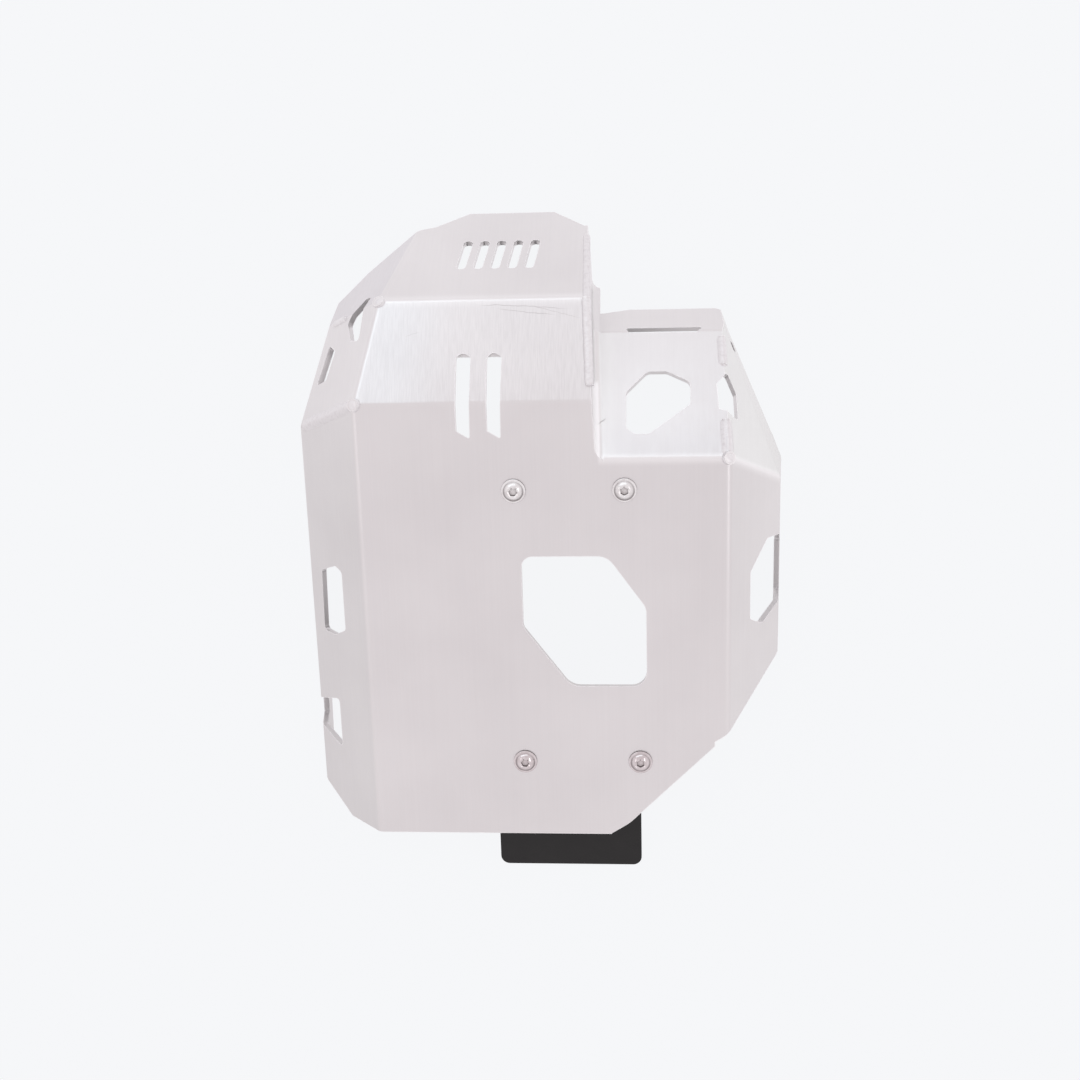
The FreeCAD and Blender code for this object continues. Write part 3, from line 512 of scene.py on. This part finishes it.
filler = weld_metal("weld_as_laid", WELD_LIGHT, WELD_DARK, WELD_SKIN)
ground = weld_metal("weld_ground_flat", GROUND_LIGHT, GROUND_DARK, GROUND_SKIN)
for name, (start, end, first, second, *form, ripple, fullness) in BEADS.items():
    out = bisector(first, second)
    grid = bead(CORNERS[start], CORNERS[end], out, *form, ripple, fullness)
    shell(name, [grid], ground if ripple < GROUND_BELOW else filler)
for name, (corner, first, second, radius) in BUTTONS.items():
    grid = button(CORNERS[corner], bisector(first, second), radius)
    shell(name, [grid], filler)


# The four screws: M8 flanged button heads of stainless steel, cold headed, with a rolled
# thread and a hexagon socket. Two hold each bracket under the bottom panel.
# middle of the pair, its level and its distance apart, in plate millimetres
SCREWS = {"front": (21.3, 36.2, 78.4), "rear": (27.0, -172.0, 85.6)}
HEAD_TWISTS = (0.4, 1.1)
FLANGE_RADIUS = 8.8
HEAD_RADIUS = 7.3
HEAD_RISE = 4.1
FLANGE_RISE = 1.4
SOCKET_FLATS = 5.2
SOCKET_DEPTH = 2.6
SHANK_RADIUS = 4.0
SHANK_LENGTH = 22.0
THREAD_PITCH = 1.25
THREAD_DEPTH = 0.6
THREAD_RUNOUT = 1.2
TIP_LENGTH = 1.0
TIP_CUT = 0.9
FASTENER_CREASE = 32.0
STEEL_LIGHT = (0.84, 0.84, 0.84, 1.0)
STEEL_DARK = (0.70, 0.68, 0.68, 1.0)
# painted shade: the rear heads are darker, as less light falls on them
REAR_HEAD_SHADE = (0.84, 0.79, 0.80, 1.0)
# painted shade in the heads' recesses and on their steep sides
RIM_SHADE = (0.20, 0.18, 0.18, 1.0)
SHADE_REACH = 0.003
TUMBLE_SCALE = 260.0
around = np.linspace(0.0, 2 * math.pi, 72, endpoint=False)


def hexagon(turn, flats):
    """Distance from the middle of a hexagon to its side, in each direction."""
    folded = np.mod(turn + math.pi / 6, math.pi / 3) - math.pi / 6
    return flats / 2 / np.cos(folded)


def screw_head(turn):
    """Rows of the head from the middle of its socket to its seat, as radius and height.

    The socket's rows follow a hexagon and the others are round. The dome is a sphere's cap.
    """
    ball = (HEAD_RADIUS ** 2 + HEAD_RISE ** 2) / (2 * HEAD_RISE)
    across = hexagon(turn, SOCKET_FLATS)
    dome = np.linspace(4.2, HEAD_RADIUS - 0.15, 14)
    cap = FLANGE_RISE + np.sqrt(ball ** 2 - dome ** 2) - (ball - HEAD_RISE)
    floor = cap[0] - SOCKET_DEPTH
    rows = [(0.0 * across, floor - 0.7), (across * 0.97, floor), (across, floor + 0.1),
            (across, cap[0] - 0.75), (across + 0.08, cap[0] - 0.62),
            (np.full_like(turn, 3.85), cap[0] - 0.10), (np.full_like(turn, 4.0), cap[0] - 0.02)]
    rows += [(np.full_like(turn, r), z) for r, z in zip(dome, cap)]
    rim = ((HEAD_RADIUS + 0.03, FLANGE_RISE + 0.02), (HEAD_RADIUS + 0.30, FLANGE_RISE - 0.05),
           (FLANGE_RADIUS - 0.30, FLANGE_RISE - 0.16), (FLANGE_RADIUS - 0.08, FLANGE_RISE - 0.36),
           (FLANGE_RADIUS, FLANGE_RISE - 0.75), (FLANGE_RADIUS - 0.05, 0.25),
           (FLANGE_RADIUS - 0.3, 0.0), (SHANK_RADIUS + 0.2, 0.0))
    rows += [(np.full_like(turn, r), z) for r, z in rim]
    return rows


def screw_thread(turn):
    """Rows of the shank: a triangle wave that climbs one pitch each turn, cut off at the tip."""
    depth = np.arange(0.0, SHANK_LENGTH, THREAD_PITCH / 9)[:, None]
    saw = np.abs(np.mod(depth / THREAD_PITCH + turn / (2 * math.pi), 1.0) - 0.5) * 2
    cut = THREAD_DEPTH * saw * np.clip((depth - THREAD_RUNOUT) / 0.6, 0.0, 1.0)
    tip = np.maximum(0.0, TIP_LENGTH - (SHANK_LENGTH - depth)) * TIP_CUT
    rows = list(zip(SHANK_RADIUS - np.maximum(cut, tip), -depth[:, 0]))
    rows.append((np.full_like(turn, SHANK_RADIUS - 1.1), -SHANK_LENGTH))
    rows.append((0.0 * turn, -SHANK_LENGTH))
    return rows


def turned_piece(rows, turn, x, y):
    """Grid of points from rows of radius and height round an upright axis."""
    radius = np.stack([r for r, _ in rows])
    height = np.array([z for _, z in rows])[:, None] * np.ones_like(turn)
    points = [x + radius * np.cos(turn), y + radius * np.sin(turn), height]
    return placed(np.stack(points, axis=-1))


def pair_of(rows, twists, middle, level, apart):
    """Grids of a pair of like pieces side by side, each with its own twist in radians."""
    return [turned_piece(rows, around + twist, middle + side, level)
            for side, twist in zip((-apart / 2, apart / 2), twists)]


def tumbled_steel():
    """Bright stainless steel with tumbling marks, painted shade in its recesses and on its steep
    sides, and painted shade on the rear heads, which are glossier too.
    """
    made, tree, shader = material("fastener_stainless", 1.0, 0.2)
    coordinates = node(tree, "ShaderNodeTexCoord")
    place = coordinates.outputs["Object"]
    patches = cloud(tree, place, TUMBLE_SCALE, 3.0)
    tint = ramp(tree, patches, [(0.32, STEEL_DARK), (0.62, STEEL_LIGHT)])
    # painted shade: the rear heads are tinted darker, and made glossier
    rear = fade(tree, node(tree, "ShaderNodeSeparateXYZ", place).outputs["Y"], 0.0, -0.1)
    tint = blended(tree, rear, tint, blended(tree, 1.0, tint, REAR_HEAD_SHADE, "MULTIPLY"))
    # painted shade: recesses found by occlusion, and steep sides, are darkened
    hollow = node(tree, "ShaderNodeAmbientOcclusion", Distance=SHADE_REACH, samples=6).outputs["AO"]
    facing = node(tree, "ShaderNodeSeparateXYZ", coordinates.outputs["Normal"])
    steep = fade(tree, facing.outputs["Z"], 0.80, 0.45)
    shaded_rim = maths(tree, "MAXIMUM", fade(tree, hollow, 0.86, 0.35),
                  maths(tree, "MULTIPLY", steep, 0.9))
    tint = blended(tree, shaded_rim, tint, RIM_SHADE)
    tree.links.new(tint, shader.inputs["Base Color"])
    rough = ramp(tree, patches, [(0.3, grey(0.34)), (0.7, grey(0.20))])
    rough = blended(tree, rear, rough, grey(0.12))
    tree.links.new(rough, shader.inputs["Roughness"])
    bumped(tree, shader, cloud(tree, place, 2600.0, 2.0), 0.10, 0.0001)
    return made


steel = tumbled_steel()
screw = screw_head(around) + screw_thread(around)
for pair, place in SCREWS.items():
    grids = pair_of(screw, HEAD_TWISTS, *place)
    made = shell("%s_button_screws" % pair, grids, steel, FASTENER_CREASE)
    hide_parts("%s_screws" % pair)


# The nuts: M8 flange nuts of the same steel, forged and tapped. They pull the brackets up
# against the inside of the bottom panel.
NUT_FLATS = 13.0
NUT_HEIGHT = 6.5
NUT_FLANGE_RADIUS = 8.5
NUT_BORE_RADIUS = 4.1
NUT_CONE_RADIUS = 6.1
NUT_CHAMFER = 1.73
NUT_TWISTS = (0.2, 0.75)
STACK_THICKNESS = 8.0


def flange_nut(turn):
    """Rows of a nut round its whole section, as radius and height, back to the first row.

    The hexagon's rows are the smaller of the hexagon and a cone, which chamfers its corners.
    """
    seat = -STACK_THICKNESS
    whole = np.ones_like(turn)
    rows = [(NUT_BORE_RADIUS * whole, seat - 0.5), ((NUT_BORE_RADIUS + 0.5) * whole, seat),
            ((NUT_FLANGE_RADIUS - 0.3) * whole, seat), (NUT_FLANGE_RADIUS * whole, seat - 0.3),
            (NUT_FLANGE_RADIUS * whole, seat - 1.0),
            ((NUT_FLANGE_RADIUS - 0.35) * whole, seat - 1.25)]
    down = np.linspace(1.5, NUT_HEIGHT, 16)[:, None]
    cone = NUT_CONE_RADIUS + (NUT_HEIGHT - down) * NUT_CHAMFER
    rows += list(zip(np.minimum(hexagon(turn, NUT_FLATS), cone), seat - down[:, 0]))
    rows += [((NUT_BORE_RADIUS + 0.5) * whole, seat - NUT_HEIGHT),
             (NUT_BORE_RADIUS * whole, seat - NUT_HEIGHT + 0.5),
             (NUT_BORE_RADIUS * whole, seat - 0.5)]
    return rows


nut = flange_nut(around)
for pair, place in SCREWS.items():
    grids = pair_of(nut, NUT_TWISTS, *place)
    made = shell("%s_flange_nuts" % pair, grids, steel, FASTENER_CREASE)
    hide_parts("%s_nuts" % pair)


# The two brackets: 4 mm mild steel strip, cut, bent and powder coated satin black. Each is
# clamped under the bottom panel and carries the plate on the motorcycle's frame.
COAT_DARK = (0.0078, 0.0078, 0.0082, 1.0)
COAT_LIGHT = (0.0125, 0.0123, 0.0125, 1.0)
# painted highlight on the brackets' edges
COAT_EDGE_HIGHLIGHT = 0.07
EDGE_HIGHLIGHT_SHARE = 0.35
COAT_EDGE_RADIUS = 0.0006
COAT_ROUGHNESS = 0.46
COAT_GLOSS = 0.36
MOTTLE_SCALE = 70.0
PEEL_SCALE = 700.0
PEEL_BUMP = (0.30, 0.0003)


def powder_coat():
    """Satin black powder coat: orange peel, faint mottling and a painted highlight that makes its
    edges slightly lighter.
    """
    made, tree, shader = material("bracket_powder_coat", 0.0, COAT_ROUGHNESS)
    shader.inputs["Specular IOR Level"].default_value = COAT_GLOSS
    place = node(tree, "ShaderNodeTexCoord").outputs["Object"]
    mottle = cloud(tree, place, MOTTLE_SCALE, 4.0)
    tint = ramp(tree, mottle, [(0.3, COAT_DARK), (0.7, COAT_LIGHT)])
    # painted highlight along the edges
    edge_highlight = maths(tree, "MULTIPLY", cut_edges(tree, COAT_EDGE_RADIUS), EDGE_HIGHLIGHT_SHARE)
    tint = blended(tree, edge_highlight, tint, grey(COAT_EDGE_HIGHLIGHT))
    tree.links.new(tint, shader.inputs["Base Color"])
    rough = ramp(tree, mottle, [(0.3, grey(0.42)), (0.7, grey(0.52))])
    tree.links.new(rough, shader.inputs["Roughness"])
    bumped(tree, shader, cloud(tree, place, PEEL_SCALE, 2.0), *PEEL_BUMP)
    return made


coat = powder_coat()
for bracket in ("front_bracket", "rear_bracket"):
    repaint(bracket, coat)


# The floor: a wide pale sheet under the plate, as in a studio. It glows its own pale colour
# to the camera and keeps a trace of the plate's shadow. In the plate's gloss it is dimmer
# behind the plate, and brighter before it and on its right.
FLOOR_SIZE = 12.0
PALE = (0.921, 0.930, 0.947, 1.0)
GLOSS_BEHIND = (0.895, 0.862, 0.872, 1.0)
GLOSS_BEFORE = (1.075, 1.040, 1.060, 1.0)
GLOSS_RIGHT = 1.11
BEHIND_TO_BEFORE = (-0.05, 0.20)
TO_RIGHT = (0.15, 0.30)
FLOOR_GLOW = 0.97


def seen_plainly(tree):
    """1 for the rays that show the backdrop: from the camera, from gloss and through glass."""
    path = node(tree, "ShaderNodeLightPath")
    either = maths(tree, "MAXIMUM", path.outputs["Is Camera Ray"], path.outputs["Is Glossy Ray"])
    return maths(tree, "MAXIMUM", either, path.outputs["Is Transmission Ray"])


def pale_floor():
    """Diffuse sheet mixed with a glow of the same colour for the rays that show it."""
    made = bpy.data.materials.new("studio_floor")
    made.use_nodes = True
    tree = made.node_tree
    tree.nodes.clear()
    diffuse = node(tree, "ShaderNodeBsdfDiffuse", Color=PALE)
    place = node(tree, "ShaderNodeTexCoord").outputs["Object"]
    parts = node(tree, "ShaderNodeSeparateXYZ", place)
    before = fade(tree, parts.outputs["Y"], *BEHIND_TO_BEFORE)
    gloss = blended(tree, before, GLOSS_BEHIND, GLOSS_BEFORE)
    gloss = blended(tree, fade(tree, parts.outputs["X"], *TO_RIGHT), gloss,
                    blended(tree, 1.0, gloss, grey(GLOSS_RIGHT), "MULTIPLY"))
    direct = node(tree, "ShaderNodeLightPath").outputs["Is Camera Ray"]
    glow = node(tree, "ShaderNodeEmission", blended(tree, direct, gloss, PALE), 1.0)
    share = maths(tree, "MULTIPLY", seen_plainly(tree), FLOOR_GLOW)
    mix = node(tree, "ShaderNodeMixShader", share, diffuse.outputs[0], glow.outputs[0])
    node(tree, "ShaderNodeOutputMaterial", mix.outputs[0])
    return made


def floor_sheet():
    """Square on the ground plane, its corners at plus and minus half its size."""
    half = FLOOR_SIZE / 2
    corners = np.array([[-half, -half, 0], [half, -half, 0], [half, half, 0], [-half, half, 0]])
    mesh = bpy.data.meshes.new("studio_floor")
    mesh.from_pydata(corners.tolist(), [], [(0, 1, 2, 3)])
    mesh.materials.append(pale_floor())
    made = bpy.data.objects.new("studio_floor", mesh)
    scene.collection.objects.link(made)
    return made


floor_sheet()


# Light: a pale, faintly warm room all round. A long cool strip before the plate brightens its
# front panels, and a strip on each side parts the side panels from the bottom.
ROOM = (0.985, 0.930, 0.945, 1.0)
ROOM_LEVEL = 0.97
# place, aim, width, height, power, colour
LAMPS = {
    "front_strip": ((-0.60, 1.95, 1.26), (-0.1, 0.14, 0.08), 3.0, 0.50, 4.3, (0.80, 0.95, 1.0)),
    "right_strip": ((1.50, 0.15, 1.55), (0.1, 0.05, 0.10), 1.6, 0.20, 2.6, (1.0, 1.0, 1.0)),
    "left_strip": ((-1.60, 0.10, 1.50), (-0.1, 0.05, 0.10), 1.6, 0.20, 1.1, (1.0, 0.97, 0.97)),
}


def pale_room():
    """Even surroundings: the room's colour as light, the floor's pale colour to the camera."""
    world = bpy.data.worlds.new("studio_room")
    world.use_nodes = True
    tree = world.node_tree
    back = tree.nodes["Background"]
    path = node(tree, "ShaderNodeLightPath")
    seen = path.outputs["Is Camera Ray"]
    tree.links.new(blended(tree, seen, ROOM, PALE), back.inputs["Color"])
    level = node(tree, "ShaderNodeMapRange", seen, 0.0, 1.0, ROOM_LEVEL, 1.0)
    tree.links.new(level.outputs["Result"], back.inputs["Strength"])
    return world


scene.world = pale_room()
for name, (place, aim, width, height, power, colour) in LAMPS.items():
    lamp = bpy.data.lights.new(name, "AREA")
    lamp.shape = "RECTANGLE"
    lamp.size = width
    lamp.size_y = height
    lamp.energy = power
    lamp.color = colour
    holder = bpy.data.objects.new(name, lamp)
    holder.location = place
    holder.rotation_euler = (Vector(aim) - Vector(place)).to_track_quat("-Z", "Y").to_euler()
    scene.collection.objects.link(holder)


# Camera: above the front of the part and turned a little, where the photograph was taken.
# It has a 50 mm lens on a full frame, and looks down from a little over a metre.
CAMERA_PLACE = (0.08843, 0.21324, 1.14801)
CAMERA_TURN = (-10.254, 4.424, -1.172)
LENS = 50.0
SENSOR_WIDTH = 36.0
lens = bpy.data.cameras.new("camera")
lens.sensor_width = SENSOR_WIDTH
lens.lens = LENS
camera = bpy.data.objects.new("camera", lens)
camera.location = CAMERA_PLACE
camera.rotation_euler = [math.radians(angle) for angle in CAMERA_TURN]
scene.collection.objects.link(camera)
scene.camera = camera
scene.view_settings.view_transform = "Standard"
